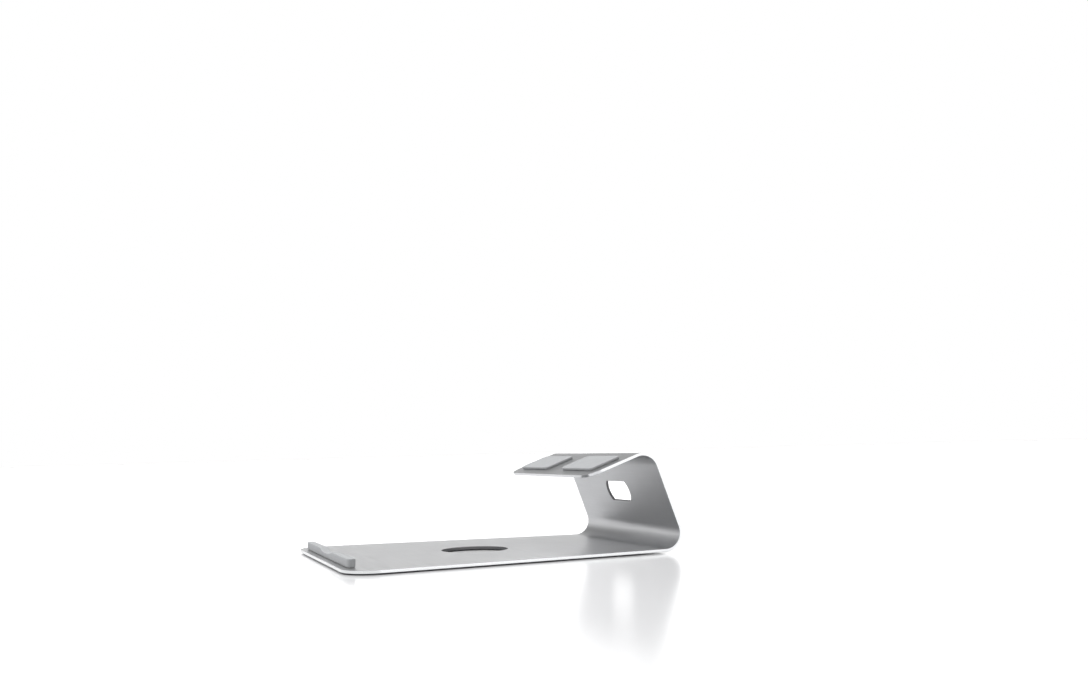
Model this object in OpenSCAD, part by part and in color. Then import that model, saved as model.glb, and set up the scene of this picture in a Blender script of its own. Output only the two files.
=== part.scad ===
// Laptop stand: one bent aluminium sheet on rubber feet, with a silicone stop at the front
// edge and two silicone rest pads on the flange that carries the back of the laptop.
// X runs across the stand, -Y is the side that faces the user and +Z is up. The origin is
// at the middle of the stand's footprint, on the surface that it stands on.

/* [Sheet] */
// Thickness of the sheet
sheet_t = 2; // [1.6:0.1:3]
// Inside radius of both bends
bend_r = 11.2; // [8:0.2:14]
// Forward lean of the upright from vertical, in degrees
lean = 20; // [14:0.2:24]

/* [Base] */
// Flat length of the base, from its front edge to the start of the rear bend
base_len = 225; // [200:1:240]
// Width across the front edge, as if its corners were square
front_w = 200; // [190:1:220]
// Radius of the front corners, seen from above
front_corner_r = 20; // [10:1:28]
// Diameter of the round hole in the base
hole_d = 48; // [40:1:70]
// Distance from the front edge to the middle of the round hole
hole_y = 112; // [90:1:130]

/* [Upright] */
// Width of the sheet at the rear bend
rear_w = 160; // [150:0.2:170]
// Width of the sheet at the top of the upright and along the flange
top_w = 160; // [150:0.2:170]
// Flat length of the upright between its two bends
upright_len = 45; // [40:1:60]
// Width of the cable slot between the tips of its round ends
slot_w = 39; // [30:1:50]
// Height of the cable slot, along the upright
slot_h = 15.8; // [12:0.2:18]
// Distance along the upright from the rear bend to the middle of the slot
slot_up = 24; // [18:0.2:26]
// Radius of the slot's round ends
slot_end_r = 9.6; // [9.2:0.2:14]

/* [Flange] */
// Flat length of the flange beyond the top bend
flange_len = 40; // [34:1:55]
// Radius of the flange's free corners
flange_corner_r = 12; // [4:1:18]

/* [Front stop] */
// Width of the front stop
stop_w = 154; // [130:1:165]
// Depth of the front stop, front to back
stop_d = 5.6; // [4:0.2:8]
// Height of the front stop above its tape
stop_h = 5.6; // [3:0.2:8]
// Distance from the front edge of the base to the front stop
stop_inset = 4.6; // [3:0.2:8]
// Width of the finger scoop in the top of the front stop
scoop_w = 46; // [30:1:60]
// Depth of the finger scoop at its middle
scoop_depth = 2.3; // [1:0.1:3]

/* [Pads and feet] */
// Width of each rest pad on the flange
pad_w = 56; // [40:1:60]
// Depth of each rest pad, down the slope of the flange
pad_d = 24; // [16:1:30]
// Thickness of each rest pad
pad_t = 1.8; // [1:0.1:3]
// Distance between the middles of the two rest pads
pad_pitch = 84; // [70:1:88]
// Diameter of each foot
foot_d = 16; // [12:1:20]
// Thickness of each foot
foot_t = 0.8; // [0.6:0.1:3]
// Thickness of the adhesive tape under every stop, pad and foot
tape_t = 0.2; // [0.1:0.05:0.4]

/* [Hidden] */
$fn = 96;

// The sheet's underside is this far above the surface that the stand is on
plate_z = foot_t + tape_t;
// Radius of the outside of both bends
outer_r = bend_r + sheet_t;
// The rear bend turns the sheet from flat to past vertical, and the top bend 90 more
rear_turn = 90 + lean;
top_turn = 90;
// The whole stand, front edge to the back of the rear bend, is centred on Y = 0
total_depth = base_len + outer_r;
front_y = -total_depth / 2;
// Centres of the two bends, as [y, z] from the underside of the front edge
rear_bend = [base_len, outer_r];
top_bend = rear_bend + upright_len * [-sin(lean), cos(lean)];
// Each side of the base leans in by this angle, seen from above
side_taper = atan((front_w - rear_w) / 2 / base_len);
// Turn of the sheet from one point of a bend to the next, in degrees
bend_step = 3;
// Tape stops this far short of the edge of the stop, pad or foot that it holds
tape_margin = 0.6;
// Corner radius of the rest pads
pad_corner_r = 4;
// Chamfer round the lower edge of a foot
foot_chamfer = 0.3;
// Feet stand in from the middle line and from the front edge: front pair, then rear pair
front_foot_at = [78, 24];
rear_foot_at = [62, 206];
// How far a cutting shape runs past what it cuts
past = 5;

aluminium = [0.80, 0.81, 0.82];
silicone = [0.66, 0.67, 0.68];
rubber = [0.30, 0.30, 0.31];
tape = [0.88, 0.88, 0.84];

// ---- Moving along the sheet ----

// Carries its children from the start of a bend to its end. Before the bend the sheet
// runs along +Y with its thickness from Z = 0 up, and it turns upwards about X.
module past_bend(turn) {
    translate([0, 0, outer_r])
        rotate([turn, 0, 0])
            translate([0, 0, -outer_r])
                children();
}

// Places its children on the base: Y = 0 is the front edge, Z = 0 the underside
module on_base() {
    translate([0, front_y, plate_z])
        children();
}

// Places its children on the upright: Y runs up it from the rear bend
module on_upright() {
    on_base()
        translate([0, base_len, 0])
            past_bend(rear_turn)
                children();
}

// Places its children on the flange: Y runs from the top bend to its free edge
module on_flange() {
    on_upright()
        translate([0, upright_len, 0])
            past_bend(top_turn)
                children();
}

// ---- Shapes ----

// Points of an arc, as [y, z]
function arc(centre, r, from, to) =
    let (steps = ceil((to - from) / bend_step))
    [for (i = [0:steps]) let (a = from + (to - from) * i / steps)
        centre + r * [cos(a), sin(a)]];

// One face of the sheet, seen from the side, from its front edge to the flange's free
// edge: r is outer_r for the outer face and bend_r for the inner face
function sheet_face(r) =
    let (free_edge = top_bend + r * [-sin(lean), cos(lean)] - flange_len * [cos(lean), sin(lean)])
    concat(
        [[0, outer_r - r]],
        arc(rear_bend, r, -90, lean),
        arc(top_bend, r, lean, lean + top_turn),
        [free_edge]
    );

// Stands a shape drawn in X = depth, Y = height up on edge, and gives it a width along X
module on_edge(width) {
    rotate([90, 0, 90])
        linear_extrude(width, center = true)
            children();
}

// A rectangle centred on the origin whose four corners are true arcs
module rounded_rect(w, d, r) {
    square([w - 2 * r, d], center = true);
    square([w, d - 2 * r], center = true);
    for (x = [-1, 1], y = [-1, 1])
        translate([x * (w / 2 - r), y * (d / 2 - r)])
            circle(r);
}

// Outline of the base: tapered sides that run into large round front corners
module base_outline() {
    corner_x = front_w / 2 - front_corner_r * (1 + sin(side_taper)) / cos(side_taper);
    tangent = [
        corner_x + front_corner_r * cos(side_taper),
        front_corner_r * (1 + sin(side_taper))
    ];
    polygon([
        [-corner_x, 0], [corner_x, 0],
        tangent, [rear_w / 2, base_len],
        [-rear_w / 2, base_len], [-tangent.x, tangent.y]
    ]);
    for (x = [-corner_x, corner_x])
        translate([x, front_corner_r])
            circle(front_corner_r);
}

// Outline of the cable slot: flat along its top and bottom, bulging at both ends
module slot_outline() {
    intersection() {
        square([slot_w, slot_h], center = true);
        union() {
            square([slot_w - 2 * slot_end_r, slot_h], center = true);
            for (x = [-1, 1])
                translate([x * (slot_w / 2 - slot_end_r), 0])
                    circle(slot_end_r);
        }
    }
}

// ---- Sub-parts ----

// The bent sheet with no outline cut: one section all the way across
module sheet() {
    inner = sheet_face(bend_r);
    on_edge(front_w + past)
        polygon(concat(
            sheet_face(outer_r),
            [for (i = [len(inner) - 1:-1:0]) inner[i]]
        ));
}

// All that the sheet's outline keeps, as three blocks: the base seen from above, the rear
// bend and the upright seen from the front, and the flange seen square on
module outline_blocks() {
    on_base() {
        translate([0, 0, -past])
            linear_extrude(sheet_t + 2 * past)
                base_outline();
        translate([0, total_depth + past, 0])
            rotate([90, 0, 0])
                linear_extrude(total_depth + past - top_bend.x)
                    upright_outline();
    }
    on_flange()
        translate([0, -bend_r, -past])
            linear_extrude(sheet_t + 2 * past)
                flange_outline();
}

// The bent sheet, with its outline, its round hole and its cable slot
module bent_plate() {
    color(aluminium)
        difference() {
            intersection() {
                on_base()
                    sheet();
                outline_blocks();
            }
            on_base()
                translate([0, hole_y, -past])
                    cylinder(d = hole_d, h = sheet_t + 2 * past);
            on_upright()
                translate([0, slot_up, -past])
                    linear_extrude(sheet_t + 2 * past)
                        slot_outline();
        }
}

// Outline of the rear bend, the upright and the top bend, as X and Z, seen from the front
module upright_outline() {
    polygon([
        [-rear_w / 2, -past], [rear_w / 2, -past],
        [rear_w / 2, rear_bend.y], [top_w / 2, top_bend.y],
        [top_w / 2, top_bend.y + outer_r + past], [-top_w / 2, top_bend.y + outer_r + past],
        [-top_w / 2, top_bend.y], [-rear_w / 2, rear_bend.y]
    ]);
}

// Outline of the flange, which starts bend_r before its flat: round at its free corners
module flange_outline() {
    length = bend_r + flange_len;
    translate([-top_w / 2, 0])
        square([top_w, length - flange_corner_r]);
    translate([-top_w / 2 + flange_corner_r, 0])
        square([top_w - 2 * flange_corner_r, length]);
    for (x = [-1, 1])
        translate([x * (top_w / 2 - flange_corner_r), length - flange_corner_r])
            circle(flange_corner_r);
}

// Silicone bar that the laptop's front edge stops against, with a scoop for a finger
module front_stop() {
    scoop_r = (pow(scoop_w / 2, 2) + pow(scoop_depth, 2)) / (2 * scoop_depth);
    color(silicone)
        on_base()
            translate([0, stop_inset + stop_d / 2, sheet_t + tape_t])
                difference() {
                    linear_extrude(stop_h)
                        rounded_rect(stop_w, stop_d, stop_d / 2 - 0.2);
                    translate([0, 0, stop_h - scoop_depth + scoop_r])
                        rotate([90, 0, 0])
                            cylinder(r = scoop_r, h = stop_d + 2, center = true, $fn = 360);
                }
}

module front_stop_tape() {
    color(tape)
        on_base()
            translate([0, stop_inset + stop_d / 2, sheet_t])
                linear_extrude(tape_t)
                    rounded_rect(stop_w - 2 * tape_margin, stop_d - 2 * tape_margin, 1.4);
}

// Places its children on the outer face of the flange, at one rest pad's middle, with +Z
// pointing away from the sheet. side is -1 for the left pad and 1 for the right.
module at_rest_pad(side) {
    on_flange()
        translate([side * pad_pitch / 2, flange_len / 2, 0])
            mirror([0, 0, 1])
                children();
}

module rest_pad(side) {
    color(silicone)
        at_rest_pad(side)
            translate([0, 0, tape_t])
                linear_extrude(pad_t)
                    rounded_rect(pad_w, pad_d, pad_corner_r);
}

module rest_tape(side) {
    color(tape)
        at_rest_pad(side)
            linear_extrude(tape_t)
                rounded_rect(pad_w - 2 * tape_margin, pad_d - 2 * tape_margin,
                    pad_corner_r - tape_margin);
}

// A foot: a flat rubber disc whose lower edge is chamfered. at is its place on the base.
module foot(at) {
    color(rubber)
        translate([at.x, front_y + at.y, 0]) {
            cylinder(d1 = foot_d - 2 * foot_chamfer, d2 = foot_d, h = foot_chamfer);
            translate([0, 0, foot_chamfer])
                cylinder(d = foot_d, h = foot_t - foot_chamfer);
        }
}

module foot_tape(at) {
    color(tape)
        translate([at.x, front_y + at.y, foot_t])
            cylinder(d = foot_d - 2 * tape_margin, h = tape_t);
}

// Mirrors a place on the base to the left side
function left(at) = [-at.x, at.y];

bent_plate();
front_stop();
front_stop_tape();
rest_pad(-1);  // left_rest_pad
rest_tape(-1);  // left_rest_tape
rest_pad(1);  // right_rest_pad
rest_tape(1);  // right_rest_tape
foot(left(front_foot_at));  // front_left_foot
foot_tape(left(front_foot_at));  // front_left_foot_tape
foot(front_foot_at);  // front_right_foot
foot_tape(front_foot_at);  // front_right_foot_tape
foot(left(rear_foot_at));  // rear_left_foot
foot_tape(left(rear_foot_at));  // rear_left_foot_tape
foot(rear_foot_at);  // rear_right_foot
foot_tape(rear_foot_at);  // rear_right_foot_tape
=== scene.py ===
import math

import bpy
from mathutils import Matrix, Vector


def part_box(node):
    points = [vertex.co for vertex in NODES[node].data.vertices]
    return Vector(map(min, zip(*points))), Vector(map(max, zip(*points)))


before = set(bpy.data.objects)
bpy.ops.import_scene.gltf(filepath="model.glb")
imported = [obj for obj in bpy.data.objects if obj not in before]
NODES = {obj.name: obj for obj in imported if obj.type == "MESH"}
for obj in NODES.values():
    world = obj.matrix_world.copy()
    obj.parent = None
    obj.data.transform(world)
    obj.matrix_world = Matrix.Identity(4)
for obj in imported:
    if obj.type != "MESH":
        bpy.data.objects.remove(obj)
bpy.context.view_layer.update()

MM = 0.001
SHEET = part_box("front_stop_tape")[0].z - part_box("bent_plate")[0].z
WIDEST_OPENING = 60 * MM
SMALLEST_STEP = 0.01 * MM

# The sheet's material slots.
FACE, OUTER_CUT, WALL = range(3)

# The camera, in metres, degrees and millimetres of lens.
CAMERA_PLACE = (0.7708, -0.2503, 0.0746)
CAMERA_YAW = 68.69
CAMERA_PITCH = 5.45
CAMERA_ROLL = -1.4
CAMERA_LENS = 36.52
CAMERA_SENSOR = 36.0

# The sky's grey by height, from the horizon at 0 to overhead at 1.
SKY_GREYS = ((0.0, 1.0), (0.18, 0.96), (0.30, 0.22), (0.55, 0.18), (1.0, 0.9))

# The sky is this much brighter towards a window at the back on the left. The glow fades in between
# two cosines of the angle from the window.
WINDOW_WAY = (-0.90, 0.36, 0.20)
WINDOW_GLOW = 2.0
WINDOW_FADE = (0.80, 0.98)

SUN_ENERGY = 1.5
SUN_ANGLE = 70
FLOOR_REACH = 12.0

# Colours, linear.
ALUMINIUM = (0.615, 0.62, 0.63, 1.0)
ALUMINIUM_CLOUD = (0.645, 0.65, 0.66, 1.0)
BRIGHT_CUT = (0.84, 0.85, 0.86, 1.0)
BRIGHT_CUT_LINE = (0.74, 0.75, 0.76, 1.0)
# Painted shade: the walls inside the openings are a darker copy of the cut metal, standing for the
# shadow in the holes.
PAINTED_SHADE_WALL = (0.22, 0.22, 0.225, 1.0)
PAINTED_SHADE_WALL_LINE = (0.17, 0.17, 0.175, 1.0)
SILICONE = (0.44, 0.45, 0.46, 1.0)
SILICONE_CLOUD = (0.47, 0.48, 0.49, 1.0)
RUBBER = (0.020, 0.020, 0.021, 1.0)
RUBBER_CLOUD = (0.036, 0.036, 0.037, 1.0)
TAPE = (0.62, 0.60, 0.55, 1.0)
TAPE_CLOUD = (0.72, 0.71, 0.67, 1.0)
FLOOR = (0.84, 0.84, 0.85, 1.0)


def new_material(name, metallic=0.0, coat=0.0, specular=0.5):
    """A material with an empty surface, and its shader and node tree."""
    material = bpy.data.materials.new(name)
    material.use_nodes = True
    tree = material.node_tree
    shader = tree.nodes["Principled BSDF"]
    shader.inputs["Metallic"].default_value = metallic
    shader.inputs["Coat Weight"].default_value = coat
    shader.inputs["Specular IOR Level"].default_value = specular
    return material, tree, shader


def object_place(tree, stretch=(1.0, 1.0, 1.0)):
    """The place on the object in metres, stretched along its axes."""
    coordinates = tree.nodes.new("ShaderNodeTexCoord")
    mapping = tree.nodes.new("ShaderNodeMapping")
    mapping.inputs["Scale"].default_value = stretch
    tree.links.new(coordinates.outputs["Object"], mapping.inputs["Vector"])
    return mapping.outputs["Vector"]


def noise(tree, place, per_metre, detail=2.0, roughness=0.5):
    """A noise from 0 to 1 that has that many features in a metre."""
    texture = tree.nodes.new("ShaderNodeTexNoise")
    texture.inputs["Scale"].default_value = per_metre
    texture.inputs["Detail"].default_value = detail
    texture.inputs["Roughness"].default_value = roughness
    tree.links.new(place, texture.inputs["Vector"])
    return texture.outputs["Fac"]


def spread(tree, value, low, high, start=0.35, end=0.65):
    """The noise's middle, from start to end, taken to low to high."""
    node = tree.nodes.new("ShaderNodeMapRange")
    node.inputs["From Min"].default_value = start
    node.inputs["From Max"].default_value = end
    node.inputs["To Min"].default_value = low
    node.inputs["To Max"].default_value = high
    tree.links.new(value, node.inputs["Value"])
    return node.outputs["Result"]


def tint(tree, shader, value, dark, light):
    """Base colour from dark to light by a noise."""
    ramp = tree.nodes.new("ShaderNodeValToRGB")
    ramp.color_ramp.elements[0].position = 0.3
    ramp.color_ramp.elements[0].color = dark
    ramp.color_ramp.elements[1].position = 0.7
    ramp.color_ramp.elements[1].color = light
    tree.links.new(value, ramp.inputs["Fac"])
    tree.links.new(ramp.outputs["Color"], shader.inputs["Base Color"])


def bump(tree, shader, value, height, strength=1.0):
    """Bumps of that height, in metres."""
    node = tree.nodes.new("ShaderNodeBump")
    node.inputs["Strength"].default_value = strength
    node.inputs["Distance"].default_value = height
    tree.links.new(value, node.inputs["Height"])
    tree.links.new(node.outputs["Normal"], shader.inputs["Normal"])


def blasted_aluminium():
    """Satin anodised metal: a fine grain, faint rolling lines across the sheet and fainter clouds."""
    material, tree, shader = new_material("blasted_aluminium", metallic=1.0)
    place = object_place(tree)
    tint(tree, shader, noise(tree, place, 35, detail=3), ALUMINIUM, ALUMINIUM_CLOUD)
    lines = noise(tree, object_place(tree, (0.015, 1.0, 1.0)), 1300, detail=3, roughness=0.6)
    tree.links.new(spread(tree, lines, 0.37, 0.45), shader.inputs["Roughness"])
    grain = noise(tree, place, 2600, detail=3, roughness=0.6)
    bump(tree, shader, grain, 0.02 * MM, strength=0.45)
    return material


def cut_aluminium(name, line, colour, roughness):
    """Milled metal: faint lines along the sheet's cut edges."""
    material, tree, shader = new_material(name, metallic=1.0)
    lines = noise(tree, object_place(tree, (0.02, 0.02, 1.0)), 6000, detail=2)
    tint(tree, shader, lines, line, colour)
    tree.links.new(spread(tree, lines, roughness - 0.04, roughness + 0.04), shader.inputs["Roughness"])
    bump(tree, shader, lines, 0.01 * MM, strength=0.2)
    return material


def moulded_rubber(name, colour, cloud, roughness, grain_per_metre):
    """Matt rubber or silicone with a fine moulded grain."""
    material, tree, shader = new_material(name, specular=0.35)
    place = object_place(tree)
    tint(tree, shader, noise(tree, place, 160, detail=4), colour, cloud)
    grain = noise(tree, place, grain_per_metre, detail=3, roughness=0.6)
    tree.links.new(spread(tree, grain, roughness - 0.06, roughness + 0.06), shader.inputs["Roughness"])
    bump(tree, shader, grain, 0.06 * MM, strength=0.5)
    return material


def adhesive_tape():
    """Pale foam tape: open cells and a dull shine."""
    material, tree, shader = new_material("foam_tape", specular=0.3)
    cells = noise(tree, object_place(tree), 3000, detail=2)
    tint(tree, shader, cells, TAPE, TAPE_CLOUD)
    tree.links.new(spread(tree, cells, 0.5, 0.7), shader.inputs["Roughness"])
    bump(tree, shader, cells, 0.03 * MM, strength=0.4)
    return material


def surface_kind(plate, polygon):
    """FACE on the sheet's faces, OUTER_CUT on its outer cut edge and WALL inside its openings.

    A cut has deep metal behind it, and the wall of an opening also faces another wall.
    """
    out = polygon.normal
    clear = out * SMALLEST_STEP
    metal, far_side, _, _ = plate.ray_cast(polygon.center - clear, -out)
    if not metal or (far_side - polygon.center).length < 1.5 * SHEET:
        return FACE
    across = plate.ray_cast(polygon.center + clear, out, distance=WIDEST_OPENING)[0]
    return WALL if across else OUTER_CUT


def soften(node, width, segments):
    """Rounds a node's corners and shades it smoothly, with its flats kept flat."""
    custom = node.data.attributes.get("custom_normal")
    if custom:
        node.data.attributes.remove(custom)
    node.data.shade_smooth()
    weld = node.modifiers.new("weld", "WELD")
    weld.merge_threshold = 0.005 * MM
    flats = node.modifiers.new("flats", "DECIMATE")
    flats.decimate_type = "DISSOLVE"
    flats.angle_limit = math.radians(1.0)
    flats.delimit = {"MATERIAL"}
    round_off = node.modifiers.new("round_off", "BEVEL")
    round_off.width = width
    round_off.segments = segments
    round_off.limit_method = "ANGLE"
    round_off.angle_limit = math.radians(35)
    round_off.miter_outer = "MITER_ARC"
    normals = node.modifiers.new("normals", "WEIGHTED_NORMAL")
    normals.mode = "FACE_AREA"
    normals.weight = 100
    normals.keep_sharp = False


def finish_plate(metal, cut, wall):
    """The bent sheet: satin faces, a bright outer edge, painted shade on the walls of its openings and
    small chamfers.
    """
    plate = NODES["bent_plate"]
    plate.data.materials.clear()
    for material in (metal, cut, wall):
        plate.data.materials.append(material)
    for polygon in plate.data.polygons:
        polygon.material_index = surface_kind(plate, polygon)
    soften(plate, 0.15 * MM, 2)


def finish_small_pieces(silicone, rubber, tape):
    """The stop, pads, feet and tapes."""
    for name, node in NODES.items():
        if name == "bent_plate":
            continue
        node.data.materials.clear()
        if name.endswith("_tape"):
            node.data.materials.append(tape)
            soften(node, 0.03 * MM, 1)
        elif name == "front_stop":
            node.data.materials.append(silicone)
            soften(node, 0.7 * MM, 4)
        elif name.endswith("_rest_pad"):
            node.data.materials.append(silicone)
            soften(node, 0.5 * MM, 3)
        else:
            node.data.materials.append(rubber)
            soften(node, 0.2 * MM, 2)


def make_camera():
    """The camera at the stand's own viewing angle."""
    data = bpy.data.cameras.new("camera")
    data.lens = CAMERA_LENS
    data.sensor_width = CAMERA_SENSOR
    data.clip_start = 0.01
    camera = bpy.data.objects.new("camera", data)
    bpy.context.scene.collection.objects.link(camera)
    turn = (
        Matrix.Rotation(math.radians(CAMERA_YAW), 4, "Z")
        @ Matrix.Rotation(math.radians(90 + CAMERA_PITCH), 4, "X")
        @ Matrix.Rotation(math.radians(CAMERA_ROLL), 4, "Z")
    )
    camera.matrix_world = Matrix.Translation(CAMERA_PLACE) @ turn
    bpy.context.scene.camera = camera


def make_floor():
    """A pale glossy floor."""
    mesh = bpy.data.meshes.new("floor")
    ways = ((-1, -1), (1, -1), (1, 1), (-1, 1))
    corners = [(x * FLOOR_REACH, y * FLOOR_REACH, 0.0) for x, y in ways]
    mesh.from_pydata(corners, [], [(0, 1, 2, 3)])
    floor = bpy.data.objects.new("floor", mesh)
    bpy.context.scene.collection.objects.link(floor)
    material, tree, shader = new_material("floor", specular=0.4)
    shader.inputs["Base Color"].default_value = FLOOR
    smudge = noise(tree, object_place(tree), 6, detail=3)
    tree.links.new(spread(tree, smudge, 0.17, 0.19), shader.inputs["Roughness"])
    mesh.materials.append(material)


def make_light(name, place, aim, size, power, glossy):
    """A square soft box, out of the camera's sight and, if not glossy, out of reflections too."""
    data = bpy.data.lights.new(name, "AREA")
    data.size = size
    data.energy = power
    light = bpy.data.objects.new(name, data)
    light.location = place
    light.rotation_mode = "QUATERNION"
    light.rotation_quaternion = (Vector(aim) - Vector(place)).to_track_quat("-Z", "Y")
    light.visible_camera = False
    light.visible_glossy = glossy
    bpy.context.scene.collection.objects.link(light)


def sky_grey(tree, place):
    """The sky's colour by height."""
    split = tree.nodes.new("ShaderNodeSeparateXYZ")
    tree.links.new(place, split.inputs["Vector"])
    ramp = tree.nodes.new("ShaderNodeValToRGB")
    elements = ramp.color_ramp.elements
    for element, (height, grey) in zip((elements[0], elements[1]), (SKY_GREYS[0], SKY_GREYS[-1])):
        element.position = height
        element.color = (grey, grey, grey, 1.0)
    for height, grey in SKY_GREYS[1:-1]:
        element = elements.new(height)
        element.color = (grey, grey, grey, 1.0)
    tree.links.new(split.outputs["Z"], ramp.inputs["Fac"])
    return ramp.outputs["Color"]


def window_glow(tree, place):
    """The sky's strength: 1 all round, and more towards the window."""
    toward = tree.nodes.new("ShaderNodeVectorMath")
    toward.operation = "DOT_PRODUCT"
    toward.inputs[1].default_value = Vector(WINDOW_WAY).normalized()
    tree.links.new(place, toward.inputs[0])
    glow = tree.nodes.new("ShaderNodeMapRange")
    glow.interpolation_type = "SMOOTHSTEP"
    glow.inputs["From Min"].default_value, glow.inputs["From Max"].default_value = WINDOW_FADE
    glow.inputs["To Min"].default_value = 1.0
    glow.inputs["To Max"].default_value = WINDOW_GLOW
    tree.links.new(toward.outputs["Value"], glow.inputs["Value"])
    return glow.outputs["Result"]


def make_world():
    """A pale backdrop that the camera sees, and a softer sky that lights the stand."""
    world = bpy.data.worlds.new("studio")
    bpy.context.scene.world = world
    world.use_nodes = True
    tree = world.node_tree
    sky = tree.nodes["Background"]
    place = tree.nodes.new("ShaderNodeTexCoord").outputs["Generated"]
    tree.links.new(sky_grey(tree, place), sky.inputs["Color"])
    tree.links.new(window_glow(tree, place), sky.inputs["Strength"])
    backdrop = tree.nodes.new("ShaderNodeBackground")
    backdrop.inputs["Color"].default_value = (1.0, 1.0, 1.0, 1.0)
    rays = tree.nodes.new("ShaderNodeLightPath")
    mix = tree.nodes.new("ShaderNodeMixShader")
    tree.links.new(rays.outputs["Is Camera Ray"], mix.inputs["Fac"])
    tree.links.new(sky.outputs["Background"], mix.inputs[1])
    tree.links.new(backdrop.outputs["Background"], mix.inputs[2])
    tree.links.new(mix.outputs["Shader"], tree.nodes["World Output"].inputs["Surface"])


def make_sun():
    """A broad light from overhead that doesn't show in reflections."""
    sun = bpy.data.lights.new("overhead", "SUN")
    sun.angle = math.radians(SUN_ANGLE)
    sun.energy = SUN_ENERGY
    overhead = bpy.data.objects.new("overhead", sun)
    overhead.visible_glossy = False
    bpy.context.scene.collection.objects.link(overhead)


finish_plate(
    blasted_aluminium(),
    cut_aluminium("bright_cut_aluminium", BRIGHT_CUT_LINE, BRIGHT_CUT, 0.18),
    # Painted shade: the openings' walls get a dark copy of the cut metal.
    cut_aluminium("painted_shade_wall_aluminium", PAINTED_SHADE_WALL_LINE, PAINTED_SHADE_WALL, 0.55),
)
finish_small_pieces(
    moulded_rubber("silicone", SILICONE, SILICONE_CLOUD, 0.62, 1800),
    moulded_rubber("rubber", RUBBER, RUBBER_CLOUD, 0.72, 1400),
    adhesive_tape(),
)
make_camera()
make_floor()
make_world()
make_sun()
make_light("edge", (1.5, 0.75, 0.35), (0.0, 0.0, 0.0), size=0.9, power=1.4, glossy=True)
make_light("front_fill", (-0.3, -1.4, 1.2), (0.0, -0.1, 0.0), size=1.0, power=12.0, glossy=False)
bpy.context.scene.view_settings.view_transform = "Standard"
